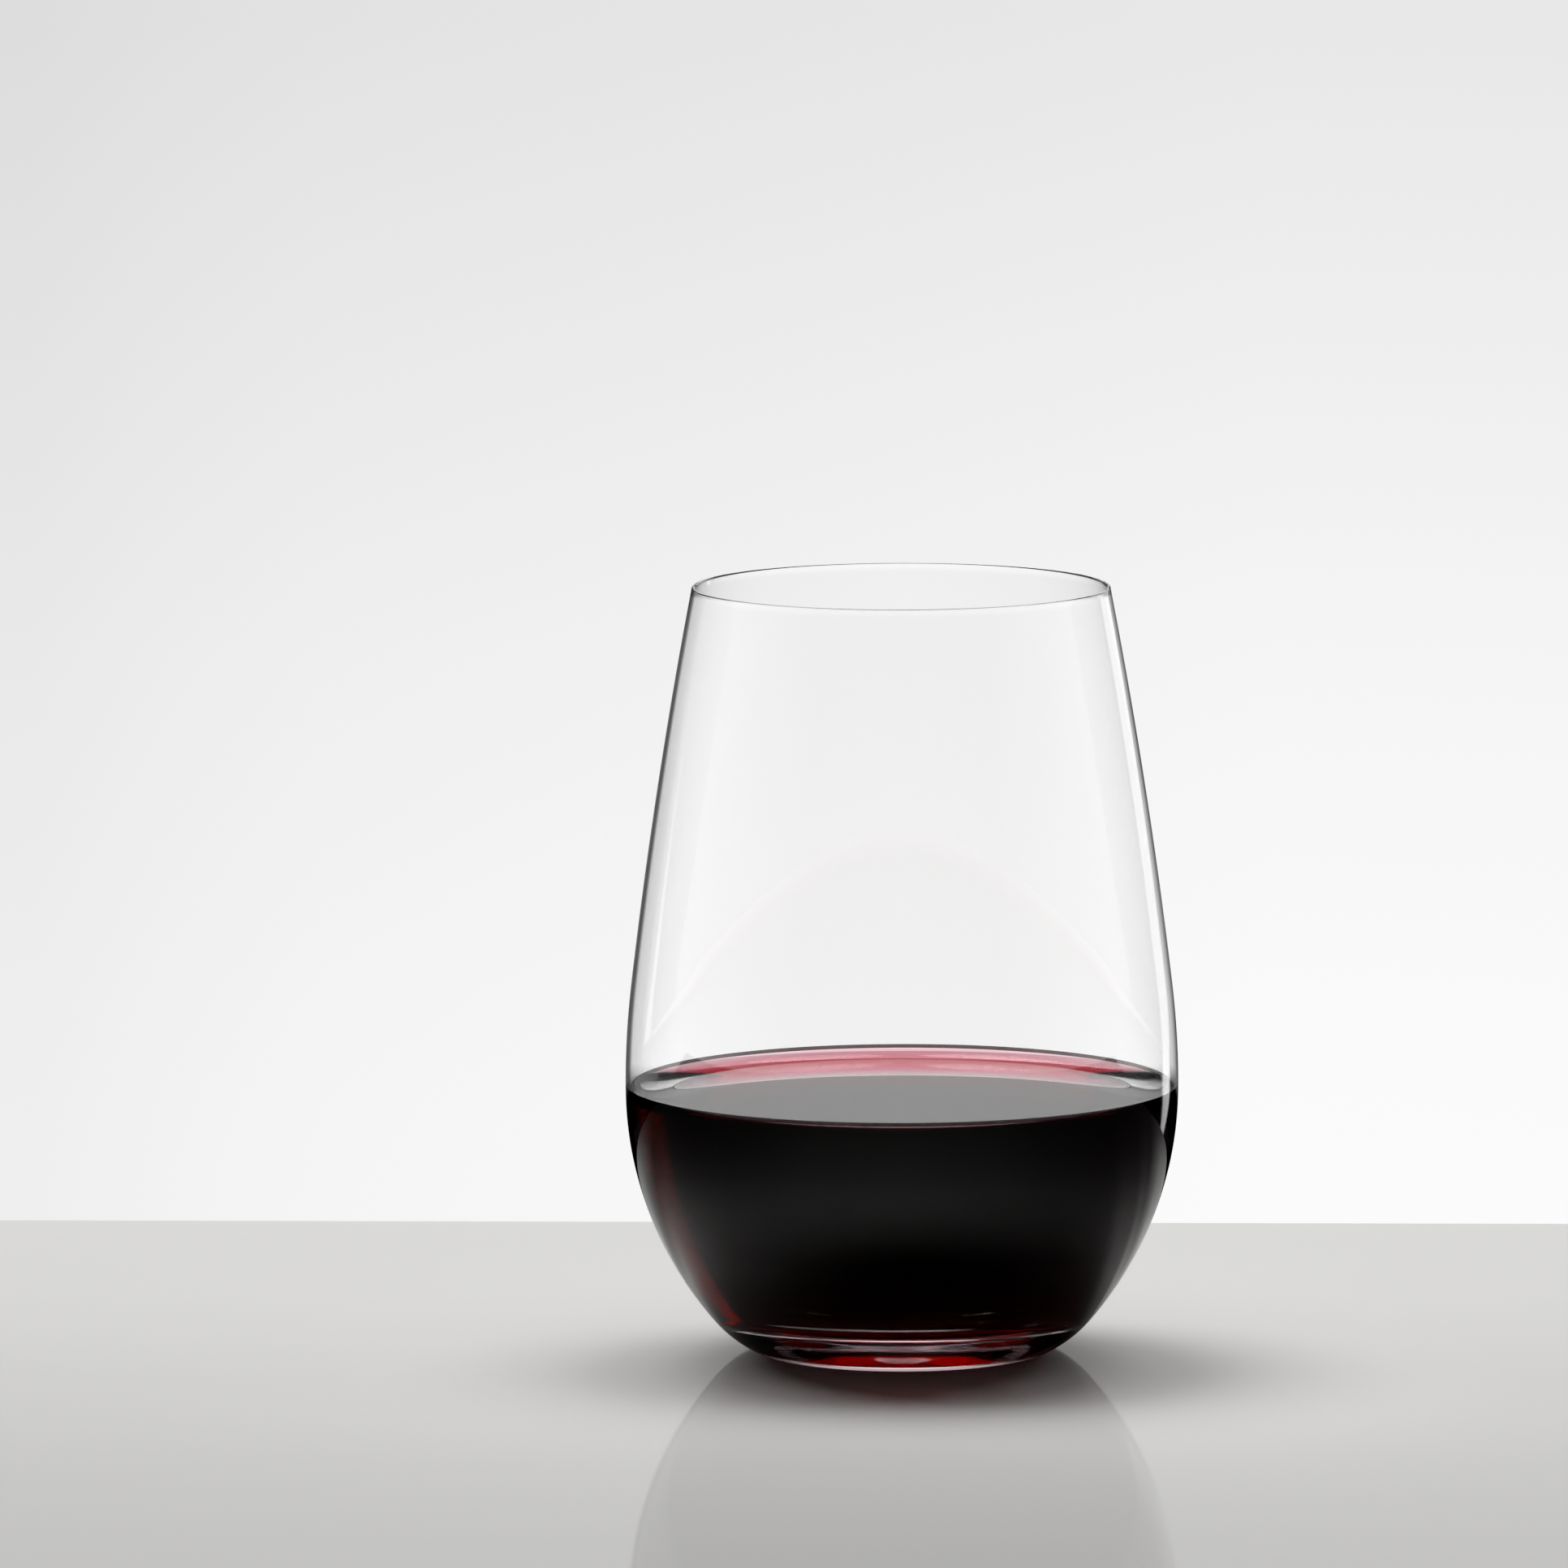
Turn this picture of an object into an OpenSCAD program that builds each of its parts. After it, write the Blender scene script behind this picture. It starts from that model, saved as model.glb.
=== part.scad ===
// Stemless wine glass with red wine in it, standing on its foot.
// Both pieces are turned about the Z axis. The origin is the middle of the
// foot, on the surface that the glass stands on. All lengths are millimetres.

/* [Outside of the glass] */
// Height from the table to the top of the rim
glass_h = 108.4; // [98:0.2:120]
// Diameter across the outside of the rim
rim_d = 58.9; // [54:0.1:64]
// Largest diameter, across the belly
belly_d = 78; // [74:0.1:84]
// Height of the largest diameter above the table
belly_z = 37.6; // [34:0.1:42]
// Diameter of the foot, where the side turns under
foot_d = 41.8; // [38:0.1:45]
// Radius of the soft turn from the belly up into the side
shoulder_r = 123; // [100:1:150]
// Share of the side's lean that is reached at the end of that turn
shoulder_share = 0.87; // [0.6:0.01:0.95]
// Radius of the toe, the tighter turn just above the foot
toe_r = 17.4; // [14:0.1:20]
// Angle that the tighter toe adds to what one even curve from belly to foot turns
toe_extra_turn = 13.6; // [8:0.2:20]

/* [Wall and floor of the glass] */
// Wall thickness at the rim
rim_wall = 0.55; // [0.4:0.05:1.2]
// Wall thickness at the belly
belly_wall = 0.65; // [0.5:0.05:1.5]
// Height of the inside floor above the table, in the middle
floor_z = 6.2; // [4.5:0.1:9]
// Diameter of the shallow floor inside
floor_d = 41; // [34:0.5:44]
// Angle from upright of the inside at the edge of that floor
floor_turn = 88.5; // [86:0.5:89.5]
// Radius of the corner round the floor, as a share of the way out to the belly
corner_share = 0.52; // [0.35:0.01:0.65]

/* [Foot] */
// Radius of the small rounding where the toe meets the table
foot_edge_r = 1.2; // [0.6:0.1:1.8]
// Width of the flat ring that rests on the table
ring_w = 3; // [2:0.1:5]
// Height of the hollow under the middle of the foot
punt_h = 0.4; // [0.2:0.1:1.5]

/* [Wine] */
// Height of the wine's flat surface above the table
wine_z = 35.6; // [26:0.1:50]
// How far the wine climbs the wall round its edge
climb_h = 2.3; // [1.5:0.1:2.6]
// Radius of the curve in which it climbs
climb_r = 3.2; // [2.7:0.1:4]

/* [Hidden] */

// Width of the wine's thin upper edge against the wall
wine_edge_w = 0.08;
// Longest step along an arc, in degrees and in length
arc_step_turn = 2.5;
arc_step_l = 4;
// Steps round a turned piece
turn_steps = 180;

rim_r = rim_d / 2;
belly_r = belly_d / 2;
foot_r = foot_d / 2;
floor_r = floor_d / 2;

// Angle from upright that the toe has turned through at the foot
toe_turn = 2 * atan2(belly_r - foot_r, belly_z) + toe_extra_turn;

// The rim is a half circle on top of the wall, round this middle
rim_round_r = rim_wall / 2;
rim_middle = [rim_r - rim_round_r, glass_h - rim_round_r];

// An outline is a list of arcs, each joined smoothly to the next. An arc is
// [centre, radius, first angle, last angle], where a point's angle is that of
// the line to it from the centre: -90 at the lowest point, 0 at the widest.

// Two arcs from end = [radius, height], which the lower one leaves at
// low_angle, up to an upright finish at start.
function arcs_below(start, end, low_r, low_angle) =
    let (low_middle = end - low_r * [cos(low_angle), sin(low_angle)],
         rest = start - low_middle - [low_r, 0],
         join_angle = -2 * atan2(rest[0], rest[1]),
         high_r = low_r - rest[1] / sin(join_angle))
    [[low_middle, low_r, low_angle, join_angle],
     [start - [high_r, 0], high_r, join_angle, 0]];

// Two arcs from an upright start up to the rim. The lower one has radius low_r
// and turns through a share of the lean between start and rim. Both run at the
// distance inset outside a path that ends in the middle of the rim.
function arcs_above(start, low_r, share, inset) =
    let (path_start = start - [inset, 0],
         path_r = low_r - inset,
         lean = rim_middle - path_start,
         join_angle = share * atan2(-lean[0], lean[1]),
         normal = [cos(join_angle), sin(join_angle)],
         run = lean + [path_r, 0] - path_r * normal,
         high_r = -run * run / (2 * run * normal),
         last_angle = 2 * atan2(-run[0], run[1]) - join_angle)
    [[start - [low_r, 0], low_r, 0, join_angle],
     [rim_middle - high_r * [cos(last_angle), sin(last_angle)],
      high_r + inset, join_angle, last_angle]];

// Points along an arc, without its last one
function arc_points(arc) =
    let (turn = arc[3] - arc[2],
         steps = ceil(max(abs(turn) / arc_step_turn, abs(turn) * PI / 180 * arc[1] / arc_step_l)))
    [for (i = [0 : steps - 1])
        arc[0] + arc[1] * [cos(arc[2] + turn * i / steps), sin(arc[2] + turn * i / steps)]];

// Point at the end of an arc
function arc_end(arc) = arc[0] + arc[1] * [cos(arc[3]), sin(arc[3])];

// Points along a whole outline
function outline_points(arcs) =
    concat([for (arc = arcs) each arc_points(arc)], [arc_end(arcs[len(arcs) - 1])]);

function reversed(list) = [for (i = [len(list) - 1 : -1 : 0]) list[i]];

// Outside, from the table up: foot edge, toe, heel, shoulder, side
foot_edge_arc = [[foot_r - foot_edge_r * cos(toe_turn), foot_edge_r], foot_edge_r, -90, -toe_turn];
outside_arcs = concat(
    [foot_edge_arc],
    arcs_below([belly_r, belly_z], arc_end(foot_edge_arc), toe_r, -toe_turn),
    arcs_above([belly_r, belly_z], shoulder_r, shoulder_share, rim_round_r));

// Inside, from the middle of the floor up: floor, corner, heel, shoulder, side
floor_curve_r = floor_r / cos(floor_turn);
floor_arc = [[0, floor_z + floor_curve_r], floor_curve_r, -90, -floor_turn];
inside_belly_r = belly_r - belly_wall;
corner_r = corner_share * (inside_belly_r - floor_r);
inside_arcs = concat(
    [floor_arc],
    arcs_below([inside_belly_r, belly_z], arc_end(floor_arc), corner_r, -floor_turn),
    arcs_above([inside_belly_r, belly_z], shoulder_r - belly_wall, shoulder_share, -rim_round_r));

// Round the rim, from the outside over the top to the inside
rim_arc = [rim_middle, rim_round_r, outside_arcs[4][3], 180 + inside_arcs[4][3]];

// Under the foot, from the middle of the hollow out to the ring that rests
ring_inner_r = foot_edge_arc[0][0] - ring_w;
punt_curve_r = (ring_inner_r * ring_inner_r + punt_h * punt_h) / (2 * punt_h);
punt_arc = [[0, punt_h - punt_curve_r], punt_curve_r, 90, acos(ring_inner_r / punt_curve_r)];

inside_points = outline_points(inside_arcs);

// The wine's edge against the wall, and the curve from there to its flat middle
wine_top_z = wine_z + climb_h;
wine_top_r = lookup(wine_top_z, [for (p = inside_points) [p[1], p[0]]]);
climb_turn = acos((climb_r - climb_h) / climb_r);
climb_middle = [wine_top_r - wine_edge_w - climb_r * sin(climb_turn), wine_z + climb_r];
climb_arc = [climb_middle, climb_r, climb_turn - 90, -90];

// The glass, one piece: thin side, thick floor and hollowed foot
module bowl() {
    color([0.86, 0.92, 0.93, 0.4])
        rotate_extrude($fn = turn_steps)
            polygon(concat(
                outline_points([punt_arc]),
                outline_points(outside_arcs),
                arc_points(rim_arc),
                reversed(inside_points)));
}

// The wine, lying on the floor and against the wall
module wine() {
    color([0.2, 0.01, 0.03])
        rotate_extrude($fn = turn_steps)
            polygon(concat(
                [for (p = inside_points) if (p[1] < wine_top_z) p],
                [[wine_top_r, wine_top_z]],
                outline_points([climb_arc]),
                [[0, wine_z]]));
}

bowl();
wine();
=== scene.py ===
import math

import bpy
import numpy as np
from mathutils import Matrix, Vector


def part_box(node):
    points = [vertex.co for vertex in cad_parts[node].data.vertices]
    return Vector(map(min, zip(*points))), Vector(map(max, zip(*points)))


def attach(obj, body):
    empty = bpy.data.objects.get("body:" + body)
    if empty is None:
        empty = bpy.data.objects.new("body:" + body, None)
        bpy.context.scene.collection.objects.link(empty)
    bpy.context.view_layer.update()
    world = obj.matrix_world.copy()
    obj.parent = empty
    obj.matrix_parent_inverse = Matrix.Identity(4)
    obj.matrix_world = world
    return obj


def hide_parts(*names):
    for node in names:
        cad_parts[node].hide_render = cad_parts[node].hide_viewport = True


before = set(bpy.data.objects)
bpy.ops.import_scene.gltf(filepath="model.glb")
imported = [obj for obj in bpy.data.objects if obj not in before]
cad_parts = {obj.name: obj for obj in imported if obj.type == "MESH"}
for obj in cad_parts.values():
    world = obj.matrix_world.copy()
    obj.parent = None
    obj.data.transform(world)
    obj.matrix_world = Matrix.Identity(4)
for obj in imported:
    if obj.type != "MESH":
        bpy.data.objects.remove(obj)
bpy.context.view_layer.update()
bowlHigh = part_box("bowl")[1]
print("frame loaded, the glass stands", round(bowlHigh.z * 1000, 1), "mm high")


# Small helpers for nodes, arcs and turned meshes


def addNode(tree, kind, sockets=None, **settings):
    # sockets maps an input's name or number to a plain value or to another node's output
    node = tree.nodes.new("ShaderNode" + kind)
    for name, value in settings.items():
        setattr(node, name, value)
    for key, value in (sockets or {}).items():
        if isinstance(value, bpy.types.NodeSocket):
            tree.links.new(value, node.inputs[key])
        else:
            node.inputs[key].default_value = value
    return node


def addMath(tree, operation, *values):
    sockets = {number: value for number, value in enumerate(values)}
    return addNode(tree, "Math", sockets, operation=operation).outputs[0]


def addRamp(tree, factor, stops):
    # grey that runs straight from stop to stop, each stop is (position from 0 to 1, grey)
    ramp = addNode(tree, "ValToRGB", {"Fac": factor})
    elements = ramp.color_ramp.elements
    while len(elements) < len(stops):
        elements.new(0.5)
    for element, (position, grey) in zip(elements, stops):
        element.position = position
        element.color = (grey, grey, grey, 1)
    return ramp.outputs["Color"]


def degreesRamp(tree, angle, stops):
    # the ramp's stops are (degrees, grey), the angle is in radians
    low, high = stops[0][0], stops[-1][0]
    share = addNode(tree, "MapRange", {"Value": angle, "From Min": math.radians(low),
                                       "From Max": math.radians(high)}).outputs["Result"]
    return addRamp(tree, share, [((a - low) / (high - low), grey) for a, grey in stops])


def atLeast(tree, depth, count):
    # 1 for light that met at least that many surfaces of the kind that depth counts, else 0
    return addMath(tree, "GREATER_THAN", depth, count - 0.5)


def onCircle(angle):
    # the point at that angle on a circle of radius 1: (cos, sin)
    return np.array([np.cos(angle), np.sin(angle)])


def arcsBelow(start, end, lowRadius, lowAngle):
    # Two arcs that join smoothly. The lower one passes through end at lowAngle, the upper
    # one stands upright at start. With the lower middle known, the join lies at minus twice
    # the angle of the line from the lower arc's widest point to start.
    start, end = np.array(start), np.array(end)
    middle = end - lowRadius * onCircle(lowAngle)
    rest = start - middle - [lowRadius, 0]
    join = -2 * math.atan2(rest[0], rest[1])
    highRadius = lowRadius - rest[1] / math.sin(join)
    return [(middle, lowRadius, lowAngle, join), (start - [highRadius, 0], highRadius, join, 0)]


def arcsAbove(start, rimMiddle, lowRadius, leanShare, inset):
    # Two arcs from upright at start to the middle of the rim. The first turns through a share
    # of the lean between them, the second has the radius -run.run / (2 run.normal) that still
    # reaches the rim. Both run at the distance inset outside that path.
    start, rimMiddle = np.array(start), np.array(rimMiddle)
    pathRadius = lowRadius - inset
    lean = rimMiddle - start + [inset, 0]
    join = leanShare * math.atan2(-lean[0], lean[1])
    normal = onCircle(join)
    run = lean + [pathRadius, 0] - pathRadius * normal
    highRadius = -run @ run / (2 * run @ normal)
    last = 2 * math.atan2(-run[0], run[1]) - join
    return [
        (start - [lowRadius, 0], lowRadius, 0, join),
        (rimMiddle - highRadius * onCircle(last), highRadius + inset, join, last),
    ]


def alongArcs(arcs, longestStep, widestTurn, fewestSteps=3):
    # (radius, height) points of each arc, centre + radius * (cos, sin), at even angles
    runs = []
    for centre, radius, first, last in arcs:
        turn = abs(last - first)
        count = math.ceil(max(turn * radius / longestStep, turn / widestTurn, fewestSteps))
        angles = np.linspace(first, last, count + 1)[:, None]
        runs.append(centre + radius * np.hstack([np.cos(angles), np.sin(angles)]))
    return np.vstack([runs[0]] + [run[1:] for run in runs[1:]])


def turnedPiece(name, profile, steps):
    # The profile's (r, z) points go round the Z axis: x = r cos(a), y = r sin(a), z = z. Its
    # first and last points lie on the axis and are one vertex each, closed by a fan of
    # triangles, and each cell between two rings is a quad that faces away from the material.
    angles = np.arange(steps) * 2 * np.pi / steps
    rings = profile[1:-1]
    x = rings[:, :1] * np.cos(angles)
    y = rings[:, :1] * np.sin(angles)
    z = np.repeat(rings[:, 1:], steps, axis=1)
    grid = np.stack([x, y, z], axis=-1).reshape(-1, 3)
    first, last = len(grid), len(grid) + 1
    points = np.vstack([grid, [0, 0, profile[0, 1]], [0, 0, profile[-1, 1]]])

    here = np.arange(len(rings) * steps).reshape(len(rings), steps)
    beside = np.roll(here, -1, axis=1)
    quads = np.stack([here[:-1], beside[:-1], beside[1:], here[1:]], axis=-1).reshape(-1, 4)
    startFan = np.stack([np.full(steps, first), beside[0], here[0]], axis=-1)
    endFan = np.stack([np.full(steps, last), here[-1], beside[-1]], axis=-1)
    corners = np.concatenate([startFan.ravel(), quads.ravel(), endFan.ravel()])
    sizes = np.concatenate([np.full(steps, 3), np.full(len(quads), 4), np.full(steps, 3)])

    mesh = bpy.data.meshes.new(name)
    mesh.vertices.add(len(points))
    mesh.vertices.foreach_set("co", points.ravel())
    mesh.loops.add(len(corners))
    mesh.loops.foreach_set("vertex_index", corners.astype(np.int32))
    mesh.polygons.add(len(sizes))
    mesh.polygons.foreach_set("loop_start", (np.cumsum(sizes) - sizes).astype(np.int32))
    mesh.polygons.foreach_set("use_smooth", np.ones(len(sizes), bool))
    mesh.update(calc_edges=True)
    mesh.validate()
    piece = bpy.data.objects.new(name, mesh)
    bpy.context.scene.collection.objects.link(piece)
    return piece


# The bowl: blown clear glass, open at the top, thick and hollowed at the foot

bowlShape = {
    "rimRadius": 0.02945,
    "bellyHeight": 0.0376,
    "footRadius": 0.0209,
    "shoulderRadius": 0.123,
    "leanShare": 0.87,
    "toeRadius": 0.0174,
    "toeExtraTurn": math.radians(13.6),
    "rimWall": 0.00055,
    "bellyWall": 0.00065,
    "floorHeight": 0.0062,
    "floorRadius": 0.0205,
    "floorTurn": math.radians(88.5),
    "cornerShare": 0.52,   # of the way from the floor's edge out to the belly
    "footEdgeRadius": 0.0012,
    "ringWidth": 0.003,
    "puntHeight": 0.0004,
    "stepsRound": 240,
    "steps": {"longestStep": 0.0009, "widestTurn": math.radians(3)},
    "rimSteps": {"longestStep": 0.0009, "widestTurn": math.radians(12)},
    "paintedLineHeights": (0.03735, 0.0379),   # heights of a band of painted shade: a dark line drawn on the wall at the wine's edge
}


def bowlOutlines(shape, height, bellyRadius):
    # the outside from the table up, and the inside from the middle of the floor up
    rimRound = shape["rimWall"] / 2
    rimMiddle = [shape["rimRadius"] - rimRound, height - rimRound]
    edge = shape["footEdgeRadius"]
    toeTurn = shape["toeExtraTurn"] + 2 * math.atan2(
        bellyRadius - shape["footRadius"], shape["bellyHeight"])
    edgeMiddle = np.array([shape["footRadius"] - edge * math.cos(toeTurn), edge])
    outside = [(edgeMiddle, edge, -math.pi / 2, -toeTurn)]
    outside += arcsBelow([bellyRadius, shape["bellyHeight"]],
                         edgeMiddle + edge * onCircle(-toeTurn), shape["toeRadius"], -toeTurn)
    outside += arcsAbove([bellyRadius, shape["bellyHeight"]], rimMiddle,
                         shape["shoulderRadius"], shape["leanShare"], rimRound)

    floorCurve = shape["floorRadius"] / math.cos(shape["floorTurn"])
    floorMiddle = np.array([0, shape["floorHeight"] + floorCurve])
    insideBelly = [bellyRadius - shape["bellyWall"], shape["bellyHeight"]]
    cornerRadius = shape["cornerShare"] * (insideBelly[0] - shape["floorRadius"])
    inside = [(floorMiddle, floorCurve, -math.pi / 2, -shape["floorTurn"])]
    inside += arcsBelow(insideBelly, floorMiddle + floorCurve * onCircle(-shape["floorTurn"]),
                        cornerRadius, -shape["floorTurn"])
    inside += arcsAbove(insideBelly, rimMiddle, shape["shoulderRadius"] - shape["bellyWall"],
                        shape["leanShare"], -rimRound)
    rim = [(np.array(rimMiddle), rimRound, outside[-1][3], math.pi + inside[-1][3])]

    ringInner = edgeMiddle[0] - shape["ringWidth"]
    punt = shape["puntHeight"]
    puntCurve = (ringInner ** 2 + punt ** 2) / (2 * punt)
    under = [(np.array([0, punt - puntCurve]), puntCurve,
              math.pi / 2, math.acos(ringInner / puntCurve))]
    return under, outside, rim, inside


def withHeights(line, heights):
    # the line, which climbs all the way, with a point more at each height, between its neighbours
    radii = np.interp(heights, line[:, 1], line[:, 0])
    line = np.vstack([line, np.stack([radii, heights], axis=1)])
    return line[np.argsort(line[:, 1])]


underArcs, outsideArcs, rimArcs, insideArcs = bowlOutlines(bowlShape, bowlHigh.z, bowlHigh.x)
insideLine = withHeights(alongArcs(insideArcs, **bowlShape["steps"]), bowlShape["paintedLineHeights"])
bowlProfile = np.vstack([
    alongArcs(underArcs, **bowlShape["steps"]),
    alongArcs(outsideArcs, **bowlShape["steps"]),
    alongArcs(rimArcs, **bowlShape["rimSteps"])[1:-1],
    insideLine[::-1],
])
bowl = turnedPiece("glassBowl", bowlProfile, bowlShape["stepsRound"])
print("bowl made,", len(bowlProfile), "profile points")


# The wine: fills the bowl to its widest part and climbs the wall a little

wineShape = {
    "level": 0.0356,              # height of the flat middle of its surface
    "climb": 0.0023,              # how far the edge climbs the wall
    "capillaryLength": 0.0019,    # sets how soon the climb dies out
    "nearWall": (1.0, 0.99),      # shares of the climb at the first two points of its curve
    "outward": (0.97, 0.0004),    # shares at its next point and its last, even ratios between
    "curvePoints": 44,
    "flatPoints": 18,
    "sink": 0.00005,              # it reaches this far into the glass, so light meets no air there
    "underTop": 0.00003,          # a point this far under the top keeps its edge sharp
    "wallGap": 0.0001,            # and the wall's own points end this far under that one
    "stepsRound": 240,
}


def climbingEdge(shape, wallRadius):
    # A liquid's surface at an upright wall. For a height h above the level, its distance from
    # the wall is L (acosh(2L/h) - acosh(2L/H)) - L (sqrt(4 - h^2/L^2) - sqrt(4 - H^2/L^2)),
    # where L is the capillary length and H the whole climb.
    length, climb = shape["capillaryLength"], shape["climb"]
    h = climb * np.append(shape["nearWall"], np.geomspace(*shape["outward"], shape["curvePoints"]))
    across = np.arccosh(2 * length / h) - np.sqrt(4 - (h / length) ** 2)
    distance = length * (across - across[0])
    return np.stack([wallRadius - distance, shape["level"] + h], axis=1)


def wineOutline(shape, wall):
    # Up the wall, each point set into the glass along the wall's normal, then over the edge and
    # in to the flat middle.
    slope = np.gradient(wall, axis=0)
    slope /= np.linalg.norm(slope, axis=1)[:, None]
    outer = wall + shape["sink"] * np.stack([slope[:, 1], -slope[:, 0]], axis=1)
    outer[0] = [0, wall[0, 1] - shape["sink"]]
    top = shape["level"] + shape["climb"]
    topRadius = np.interp(top, outer[:, 1], outer[:, 0])
    edge = climbingEdge(shape, topRadius)
    flat = np.linspace(edge[-1], [0, shape["level"]], shape["flatPoints"])[1:]
    nearTop = top - shape["underTop"]
    nearTopPoint = [np.interp(nearTop, outer[:, 1], outer[:, 0]), nearTop]
    wallPoints = outer[outer[:, 1] < nearTop - shape["wallGap"]]
    return np.vstack([wallPoints, nearTopPoint, edge, flat])


wineProfile = wineOutline(wineShape, insideLine)
wine = turnedPiece("redWine", wineProfile, wineShape["stepsRound"])
print("wine made,", len(wineProfile), "profile points")


# Materials

waveLook = {
    "detail": 1.0, "roughness": 0.4,
    "finer": 2.7, "finerShare": 0.33,   # the small waves' scale and height beside the large ones
    "depth": 0.001,
}
glassLook = {
    "tint": (0.993, 0.994, 0.993, 1),
    # painted shade: the tint of a band on the wall at the wine's edge, which draws a dark line
    # there in light that passes through
    "paintedLineTint": (0.012, 0.005, 0.006, 1),
    "ior": 1.5,
    "waveScale": 26.0,     # soft waves that blowing leaves in the wall, per metre
    "waveStrength": 0.02,
}
wineLook = {
    "ior": 1.34,
    "absorbed": (0.897, 0.04, 0.25, 1),
    "density": 1200.0,
    "openAbove": 0.13,     # its open surface faces up at least so much
    "rippleScale": 40.0,
    "rippleStrength": 0.01,
}
# Light that crossed so many surfaces came through wine, because the empty glass has four.
surfacesWithWine = 5


def softWaves(name, look):
    # A normal that swells softly: two sizes of smooth noise on the object's own coordinates,
    # large + small * its share of the height.
    group = bpy.data.node_groups.new(name, "ShaderNodeTree")
    for label, kind in (("Scale", "NodeSocketFloat"), ("Strength", "NodeSocketFloat")):
        group.interface.new_socket(label, in_out="INPUT", socket_type=kind)
    group.interface.new_socket("Normal", in_out="OUTPUT", socket_type="NodeSocketVector")
    given = group.nodes.new("NodeGroupInput")
    result = group.nodes.new("NodeGroupOutput")
    place = addNode(group, "TexCoord").outputs["Object"]
    large = addNode(group, "TexNoise", {"Vector": place, "Scale": given.outputs["Scale"],
                                        "Detail": look["detail"], "Roughness": look["roughness"]})
    finer = addMath(group, "MULTIPLY", given.outputs["Scale"], look["finer"])
    small = addNode(group, "TexNoise", {"Vector": place, "Scale": finer, "Detail": 0.0})
    height = addMath(group, "ADD", large.outputs["Fac"],
                     addMath(group, "MULTIPLY", small.outputs["Fac"], look["finerShare"]))
    bump = addNode(group, "Bump", {"Height": height, "Distance": look["depth"],
                                   "Strength": given.outputs["Strength"]})
    group.links.new(bump.outputs["Normal"], result.inputs["Normal"])
    return group


waves = softWaves("softWaves", waveLook)


def newMaterial(name):
    material = bpy.data.materials.new(name)
    material.use_nodes = True
    material.node_tree.nodes.clear()
    return material, material.node_tree


def addWaves(tree, scale, strength):
    # the shared soft waves, at a scale per metre
    placed = addNode(tree, "Group", {"Scale": scale, "Strength": strength}, node_tree=waves)
    return placed.outputs["Normal"]


def clearGlass(name, look, tint, wet):
    # Where the glass is wet it has no gloss of its own, because no air lies behind it. Mirrored
    # light meets the look's own tint everywhere, so a painted dark tint only darkens light that
    # passes through the glass.
    material, tree = newMaterial(name)
    seen = tint
    if tint != look["tint"]:
        mirrored = atLeast(tree, addNode(tree, "LightPath").outputs["Glossy Depth"], 1)
        seen = addNode(tree, "Mix", {"Factor": mirrored, "A": tint, "B": look["tint"]},
                       data_type="RGBA").outputs["Result"]
    shader = addNode(tree, "BsdfPrincipled", {
        "Base Color": seen,
        "Roughness": 0.0,
        "IOR": look["ior"],
        "Transmission Weight": 1.0,
        "Specular Tint": (0, 0, 0, 1) if wet else (1, 1, 1, 1),
        "Normal": addWaves(tree, look["waveScale"], look["waveStrength"]),
    })
    addNode(tree, "OutputMaterial", {"Surface": shader.outputs["BSDF"]})
    return material


def redWine(name, look):
    # Only its open surface, whose faces point up, has a gloss of its own. Seen from within, a
    # face's normal is turned over first: side is 1 from outside and -1 from within.
    material, tree = newMaterial(name)
    geometry = addNode(tree, "NewGeometry")
    up = addNode(tree, "SeparateXYZ", {"Vector": geometry.outputs["True Normal"]}).outputs["Z"]
    side = addMath(tree, "MULTIPLY_ADD", geometry.outputs["Backfacing"], -2.0, 1.0)
    openTo = addMath(tree, "GREATER_THAN", addMath(tree, "MULTIPLY", up, side), look["openAbove"])
    shader = addNode(tree, "BsdfPrincipled", {
        "Base Color": (1, 1, 1, 1),
        "Roughness": 0.0,
        "IOR": look["ior"],
        "Transmission Weight": 1.0,
        "Specular Tint": openTo,
        "Normal": addWaves(tree, look["rippleScale"], look["rippleStrength"]),
    })
    depth = addNode(tree, "VolumeAbsorption",
                    {"Color": look["absorbed"], "Density": look["density"]})
    addNode(tree, "OutputMaterial", {"Surface": shader.outputs["BSDF"],
                                     "Volume": depth.outputs["Volume"]})
    return material


def fillSlots(piece, shape, wall, wetSlot, paintedLineSlot):
    # The bowl's faces follow its profile in order, so the wet ones are the last. The band of
    # painted shade, a dark line drawn on the wall at the wine's edge, comes just before them. n
    # points of the wall up to a height have n - 1 rings of faces between them.
    slots = np.zeros(len(piece.data.polygons), np.int32)
    paintedLineLow, paintedLineHigh = shape["paintedLineHeights"]
    for slot, top in ((paintedLineSlot, paintedLineHigh), (wetSlot, paintedLineLow)):
        rings = int(np.sum(wall[:, 1] <= top)) - 1
        slots[-shape["stepsRound"] * rings:] = slot
    piece.data.polygons.foreach_set("material_index", slots)
    return rings


bowl.data.materials.append(clearGlass("clearGlass", glassLook, glassLook["tint"], wet=False))
bowl.data.materials.append(clearGlass("wetGlass", glassLook, glassLook["tint"], wet=True))
# the third slot is painted shade: a dark band drawn on the wall at the wine's edge
bowl.data.materials.append(clearGlass("paintedDarkLine", glassLook, glassLook["paintedLineTint"], wet=False))
wine.data.materials.append(redWine("redWine", wineLook))
wetRings = fillSlots(bowl, bowlShape, insideLine, wetSlot=1, paintedLineSlot=2)
print("materials made,", wetRings, "wet rings")

for piece, node, slotName in ((bowl, "bowl", "clear_glass"), (wine, "wine", "red_wine")):
    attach(piece, "root")
    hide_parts(node)


# The table, whose back edge shows behind the glass

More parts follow.
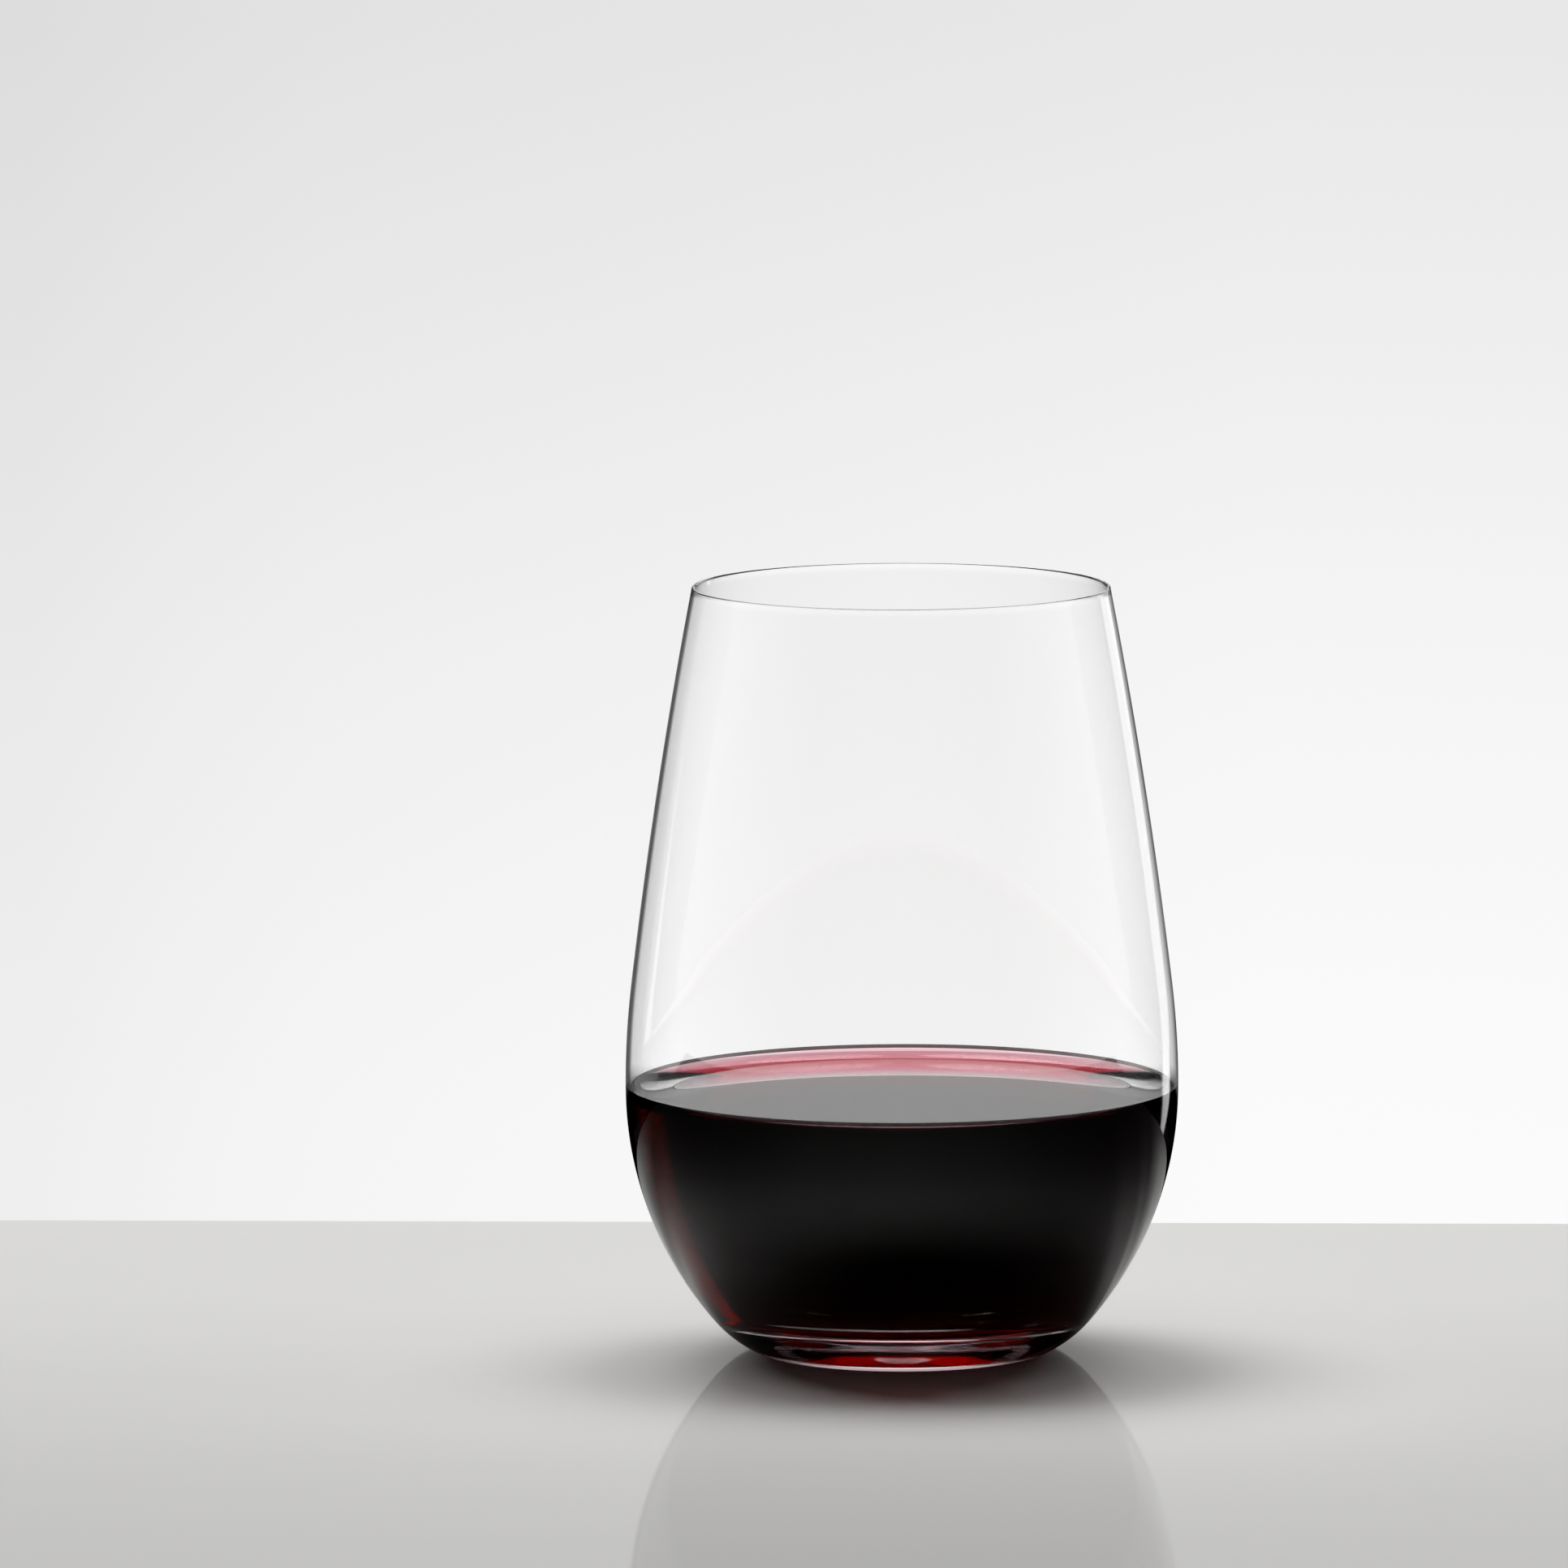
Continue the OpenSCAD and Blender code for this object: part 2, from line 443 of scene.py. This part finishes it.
tableShape = {
    "left": -0.75, "right": 0.75, "front": -1.6,
    "split": -0.4,          # its top is cut across here
    "backEdge": 0.1165,     # distance of its back edge behind the glass
    "backTurn": -0.025,     # how that edge slants across the view
    "depth": 0.03,
    "edgeRadius": 0.0012,
    "edgePoints": 9,
}
tableLook = {
    # Painted shade: the stops below darken the top from its back edge towards the front
    "shadeFrom": -0.4, "shadeTo": 0.12,   # distances back, with (share of the way, grey) stops
    "shadeStops": [(0.0, 0.48), (0.4, 0.57), (0.58, 0.625), (0.66, 0.668), (0.72, 0.69),
                   (0.78, 0.728), (0.86, 0.768), (0.96, 0.785), (1.0, 0.8)],
    "warmth": (1.008, 1.0, 0.985),
    "gloss": 0.13,
    "glossRoughness": 0.05,
    # Painted light and shadow that only mirrored light meets of it, dark round the foot and lit in
    # rings beyond: (distance from the axis in mm, grey) stops, and the share of each at an angle
    # to the right of straight behind, as (degrees, share) stops.
    "nearStops": [(0, 0.0), (26, 0.15), (35, 0.32), (44, 0.5), (50, 0.48), (57, 0.42), (67, 0.32),
                  (80, 0.19), (98, 0.09), (125, 0.04), (165, 0.02), (250, 0.01)],
    "nearShares": [(-180, 0.0), (-147, 0.25), (-130, 0.45), (-113, 0.6), (-90, 1.0), (-71, 1.6),
                   (-55, 1.0), (58, 1.0), (68, 1.3), (73, 0.7), (85, 0.7), (94, 0.3), (102, 0.2),
                   (125, 0.1), (145, 0.04), (180, 0.0)],
    "frontStops": [(0, 0.0), (46, 0.01), (56, 0.2), (67, 0.29), (81, 0.3), (101, 0.22),
                   (138, 0.16), (210, 0.12), (250, 0.12)],
    "frontShares": [(-180, 1.0), (-147, 0.8), (-130, 0.5), (-113, 0.3), (-90, 0.1), (-60, 0.0),
                    (90, 0.1), (125, 0.4), (145, 0.7), (180, 1.0)],
    "backStops": [(0, 0.0), (50, 0.1), (75, 0.45), (120, 0.42), (165, 0.15), (250, 0.05)],
    "backShares": [(-180, 0.0), (-62, 0.0), (-42, 1.0), (48, 1.0), (62, 0.0), (180, 0.0)],
    "reach": 250.0,         # the last of those distances
}


def tableMesh(shape):
    # A profile in (distance back, height) that runs from the front along the top, round a
    # quarter circle at the back edge and down, carried straight from left to right.
    turn = np.linspace(np.pi / 2, 0, shape["edgePoints"])
    radius = shape["edgeRadius"]
    edge = np.stack([shape["backEdge"] - radius + radius * np.cos(turn),
                     -radius + radius * np.sin(turn)], axis=1)
    top = [[shape["front"], 0], [shape["split"], 0]]
    profile = np.vstack([top, edge, [shape["backEdge"], -shape["depth"]],
                         [shape["front"], -shape["depth"]], [shape["front"], 0]])
    across = np.array([shape["left"], shape["right"]])
    x = np.repeat(across[:, None], len(profile), axis=1)
    y = profile[:, 0] + shape["backTurn"] * x
    z = np.repeat(profile[None, :, 1], 2, axis=0)
    points = np.stack([x, y, z], axis=-1).reshape(-1, 3)
    n = len(profile)
    here = np.arange(n - 1)
    quads = np.stack([here, here + n, here + n + 1, here + 1], axis=1)
    mesh = bpy.data.meshes.new("table")
    mesh.from_pydata(points.tolist(), [], quads.tolist())
    # the quads after the flat top go round the edge, smooth but for the lowest
    smooth = [len(top) <= number < shape["edgePoints"] for number in range(len(quads))]
    mesh.polygons.foreach_set("use_smooth", smooth)
    mesh.update()
    return mesh


def tableMaterial(look):
    # Its grey goes by the distance back, a painted shade that darkens it towards the front, and
    # only the camera sees gloss of its own. Mirrored light that didn't come through wine meets the
    # sum of three rings instead, painted light and shadow round the glass. Each ring is a grey by
    # the distance from the axis times a share by the angle round it.
    material, tree = newMaterial("paleTable")
    place = addNode(tree, "TexCoord").outputs["Object"]
    axes = addNode(tree, "SeparateXYZ", {"Vector": place})
    along = addNode(tree, "MapRange", {"Value": axes.outputs["Y"], "From Min": look["shadeFrom"],
                                       "From Max": look["shadeTo"]})
    # painted shade, darker towards the front
    shade = addRamp(tree, along.outputs["Result"], look["shadeStops"])
    flat = addNode(tree, "VectorMath", {0: place, 1: (1, 1, 0)}, operation="MULTIPLY").outputs[0]
    metres = addNode(tree, "VectorMath", {0: flat}, operation="LENGTH").outputs["Value"]
    out = addMath(tree, "MULTIPLY", metres, 1000 / look["reach"])
    turn = addMath(tree, "ARCTAN2", axes.outputs["X"], axes.outputs["Y"])
    # painted light and shadow round the glass: dark under it and lit in rings beyond
    rings = 0.0
    for ring in ("near", "front", "back"):
        stops = [(distance / look["reach"], grey) for distance, grey in look[ring + "Stops"]]
        share = degreesRamp(tree, turn, look[ring + "Shares"])
        rings = addMath(tree, "MULTIPLY_ADD", addRamp(tree, out, stops), share, rings)
    rays = addNode(tree, "LightPath")
    mirrored = atLeast(tree, rays.outputs["Glossy Depth"], 1)
    deep = atLeast(tree, rays.outputs["Transmission Depth"], surfacesWithWine)
    paintedRingShare = addMath(tree, "MULTIPLY", mirrored, addMath(tree, "SUBTRACT", 1.0, deep))
    # mirrored light meets the painted rings in place of the table's grey
    shade = addNode(tree, "Mix", {"Factor": paintedRingShare, "A": shade, "B": rings}).outputs[0]
    warm = addNode(tree, "VectorMath", {0: shade, 1: look["warmth"]}, operation="MULTIPLY")
    matt = addNode(tree, "BsdfDiffuse", {"Color": warm.outputs["Vector"]})
    gloss = addNode(tree, "BsdfGlossy",
                    {"Color": (1, 1, 1, 1), "Roughness": look["glossRoughness"]})
    own = addMath(tree, "MULTIPLY", rays.outputs["Is Camera Ray"], look["gloss"])
    both = addNode(tree, "MixShader", {0: own, 1: matt.outputs[0], 2: gloss.outputs[0]})
    addNode(tree, "OutputMaterial", {"Surface": both.outputs[0]})
    return material


table = bpy.data.objects.new("table", tableMesh(tableShape))
table.data.materials.append(tableMaterial(tableLook))
bpy.context.scene.collection.objects.link(table)
print("table made")


# The studio: a world that is bright behind the glass and dark to each side of that. Its angles
# are in degrees, turned to the right from straight behind, or up from the horizon.

studio = {
    "backdropStops": [(-9.0, 0.962), (-8.4, 0.955), (-7.9, 0.942), (-6.7, 0.905), (-4.3, 0.8),
                      (6.0, 0.745)],
    "acrossStops": [(-3.3, 0.9), (-2.8, 0.928), (-2.2, 0.952), (-1.7, 0.961), (1.4, 1.006),
                    (4.0, 1.003)],
    "throughGlass": 1.045,     # the backdrop as light that comes through glass meets it
    # what mirrored light meets at each turn
    "roomStops": [(-180, 0.5), (-135, 0.5), (-105, 0.85), (-72, 1.35), (-41, 1.0), (-39, 0.85),
                  (-26, 0.8), (-22, 0.38), (-19, 0.12), (-16, 0.08), (-6, 0.06), (-4, 0.9),
                  (3.5, 0.9), (6, 0.07), (11, 0.1), (15, 0.28), (20, 0.5), (26, 0.72), (41, 1.0),
                  (72, 1.35), (105, 0.85), (135, 0.5), (180, 0.5)],
    # The ends below are (angle, softness) or (first angle, last angle, softness). The room is
    # dark outside these heights, its lower end rises to both sides, and it is higher beyond a
    # turn to either side.
    "roomLow": (-9.0, 0.3), "roomHigh": (12.0, 0.5), "roomLift": 0.05,
    "sidesFrom": (42.0, 6.0), "sidesHigh": (40.0, 5.0),
    # the softbox leans: it starts further round the lower it is, here at the horizon
    "softboxFrom": (19.3, 1.0), "softboxTo": (39.5, 1.0), "softboxSlant": 1.3,
    "softboxHeights": (-13.0, 25.0, 0.5), "softboxLight": 1.5,
    # a part so bright that it shows dark red through the wine, and leans a little
    "glowTurns": (37.5, 54.0, 1.0), "glowSlant": 0.15,
    "glowHeights": (-12.5, 30.0, 2.0), "glowLight": 16.5,
    # what mirrored light meets high above straight behind, at each height
    "panelTurns": (-15.0, 15.0, 4.0), "panelFrom": (7.5, 0.5),
    "panelStops": [(7.5, 0.76), (8.5, 0.76), (8.8, 0.9), (11, 0.9), (12, 0.5), (13.5, 2.9),
                   (20, 2.9), (23, 0.15), (39, 0.1)],
    # what mirrored light that passed the wine's thin edge meets straight behind
    "edgeTurns": (-10.0, 10.0, 4.0), "edgeLight": 1.6,
    "fill": 0.03,              # lights matt surfaces from all round
    # soft lamps overhead as (name, side, light), where side is -1 on the left and 1 on the right
    "lamps": (("leftLamp", -1, 1.42), ("middleLamp", 0, 0.81), ("rightLamp", 1, 0.87)),
    "lampSoftness": math.radians(36),
    "lampBack": math.radians(30), "lampSide": math.radians(23),
}


def above(tree, angle, low, soft):
    # 1 above an angle in degrees and 0 below it, by a straight ramp from low - soft to low + soft
    return addNode(tree, "MapRange", {"Value": angle, "From Min": math.radians(low - soft),
                                      "From Max": math.radians(low + soft)}).outputs["Result"]


def below(tree, angle, high, soft):
    # the same ramp downwards: 1 below an angle and 0 above it
    return above(tree, angle, high, -soft)


def between(tree, angle, low, high, soft):
    # 1 between two angles and 0 outside, rise * fall
    return addMath(tree, "MULTIPLY", above(tree, angle, low, soft), below(tree, angle, high, soft))


def buildWorld(look):
    # Grey by direction. The camera, and light that only passes through glass, see a plain pale
    # backdrop all round. Mirrored light meets the backdrop straight behind the glass with a
    # bright panel above it, dark cards to both sides, which draw the dark edges, the taller
    # sides of the room beyond them, and one tall softbox on the right. Light that came through
    # wine also meets a much brighter part on the right, or, when mirrored, a bright middle.
    world = bpy.data.worlds.new("studio")
    bpy.context.scene.world = world
    world.use_nodes = True
    tree = world.node_tree
    tree.nodes.clear()
    direction = addNode(tree, "TexCoord").outputs["Generated"]
    axes = addNode(tree, "SeparateXYZ", {"Vector": direction})
    height = addMath(tree, "ARCSINE", axes.outputs["Z"])
    turn = addMath(tree, "ARCTAN2", axes.outputs["X"], axes.outputs["Y"])
    rays = addNode(tree, "LightPath")
    mirrored = atLeast(tree, rays.outputs["Glossy Depth"], 1)
    deep = atLeast(tree, rays.outputs["Transmission Depth"], surfacesWithWine)

    backdrop = degreesRamp(tree, height, look["backdropStops"])
    pale = addMath(tree, "MULTIPLY", backdrop, degreesRamp(tree, turn, look["acrossStops"]))

    # the room, lit up to one height near straight behind and up to a greater one at its sides
    away = addMath(tree, "ABSOLUTE", turn)
    lifted = addMath(tree, "MULTIPLY_ADD", away, -look["roomLift"], height)
    sides = addMath(tree, "MULTIPLY", above(tree, away, *look["sidesFrom"]),
                    below(tree, height, *look["sidesHigh"]))
    lit = addMath(tree, "MAXIMUM", below(tree, height, *look["roomHigh"]), sides)
    lit = addMath(tree, "MULTIPLY", lit, above(tree, lifted, *look["roomLow"]))
    gloss = addMath(tree, "MULTIPLY", degreesRamp(tree, turn, look["roomStops"]), lit)

    leaned = addMath(tree, "MULTIPLY_ADD", height, look["softboxSlant"], turn)
    box = addMath(tree, "MULTIPLY", above(tree, leaned, *look["softboxFrom"]),
                  below(tree, turn, *look["softboxTo"]))
    box = addMath(tree, "MULTIPLY", box, between(tree, height, *look["softboxHeights"]))
    gloss = addMath(tree, "MAXIMUM", gloss, addMath(tree, "MULTIPLY", box, look["softboxLight"]))

    high = addMath(tree, "MULTIPLY", between(tree, turn, *look["panelTurns"]),
                   above(tree, height, *look["panelFrom"]))
    panel = degreesRamp(tree, height, look["panelStops"])
    gloss = addNode(tree, "Mix", {"Factor": high, "A": gloss, "B": panel}).outputs[0]

    tilted = addMath(tree, "MULTIPLY_ADD", height, look["glowSlant"], turn)
    glow = addMath(tree, "MULTIPLY", between(tree, tilted, *look["glowTurns"]),
                   between(tree, height, *look["glowHeights"]))
    glow = addMath(tree, "MULTIPLY", addMath(tree, "MULTIPLY", glow, deep), look["glowLight"])
    through = addMath(tree, "MULTIPLY", backdrop, look["throughGlass"])
    through = addMath(tree, "MAXIMUM", through, glow)

    # each kind of light in turn takes its own grey, and a later kind wins over an earlier one
    straight = addMath(tree, "SUBTRACT", rays.outputs["Is Transmission Ray"], mirrored)
    edge = addMath(tree, "MULTIPLY", mirrored, deep)
    middle = addMath(tree, "MULTIPLY", look["edgeLight"], between(tree, turn, *look["edgeTurns"]))
    matt = atLeast(tree, rays.outputs["Diffuse Depth"], 1)
    seen = look["fill"]
    for share, grey in ((rays.outputs["Is Glossy Ray"], gloss), (straight, through),
                        (edge, middle), (matt, look["fill"]),
                        (rays.outputs["Is Camera Ray"], pale)):
        seen = addNode(tree, "Mix", {"Factor": share, "A": seen, "B": grey}).outputs[0]
    light = addNode(tree, "Background", {"Color": seen, "Strength": 1.0})
    addNode(tree, "OutputWorld", {"Surface": light.outputs[0]})
    world.cycles.sampling_method = "NONE"


def overheadLamp(name, look, side, light):
    # A soft lamp high above, behind and perhaps to one side, for the table and its shadow.
    # Gloss meets the world instead of it.
    data = bpy.data.lights.new(name, "SUN")
    data.energy, data.angle = light, look["lampSoftness"]
    lamp = bpy.data.objects.new(name, data)
    lamp.rotation_euler = (-look["lampBack"], side * look["lampSide"], 0)
    lamp.visible_glossy = False
    bpy.context.scene.collection.objects.link(lamp)


buildWorld(studio)
for lampName, lampSide, lampLight in studio["lamps"]:
    overheadLamp(lampName, studio, lampSide, lampLight)
bowl.visible_shadow = False   # the wine alone casts a shadow
print("studio made")


# The camera, far off and long, with distances in metres, angles in radians and lens in mm

cameraPlace = {
    "distance": 2.1201, "height": 0.3481,
    "pitch": 0.1256, "yaw": 0.00779, "roll": -0.00276,
    "lens": 348.65, "sensor": 36.0,
    "clipStart": 0.01, "clipEnd": 100,
}


def placeCamera(place):
    data = bpy.data.cameras.new("camera")
    data.lens, data.sensor_width = place["lens"], place["sensor"]
    data.clip_start, data.clip_end = place["clipStart"], place["clipEnd"]
    camera = bpy.data.objects.new("camera", data)
    camera.location = (0, -place["distance"], place["height"])
    camera.rotation_euler = (math.pi / 2 - place["pitch"], 0, place["yaw"])
    camera.rotation_euler.rotate_axis("Z", place["roll"])
    bpy.context.scene.collection.objects.link(camera)
    bpy.context.scene.camera = camera


placeCamera(cameraPlace)

# Rendering, with enough bounces for light that crosses glass and wine many times

scene = bpy.context.scene
scene.view_settings.view_transform = "Standard"
scene.cycles.max_bounces = 32
scene.cycles.transmission_bounces = 32
scene.cycles.glossy_bounces = 16

print("scene finished")
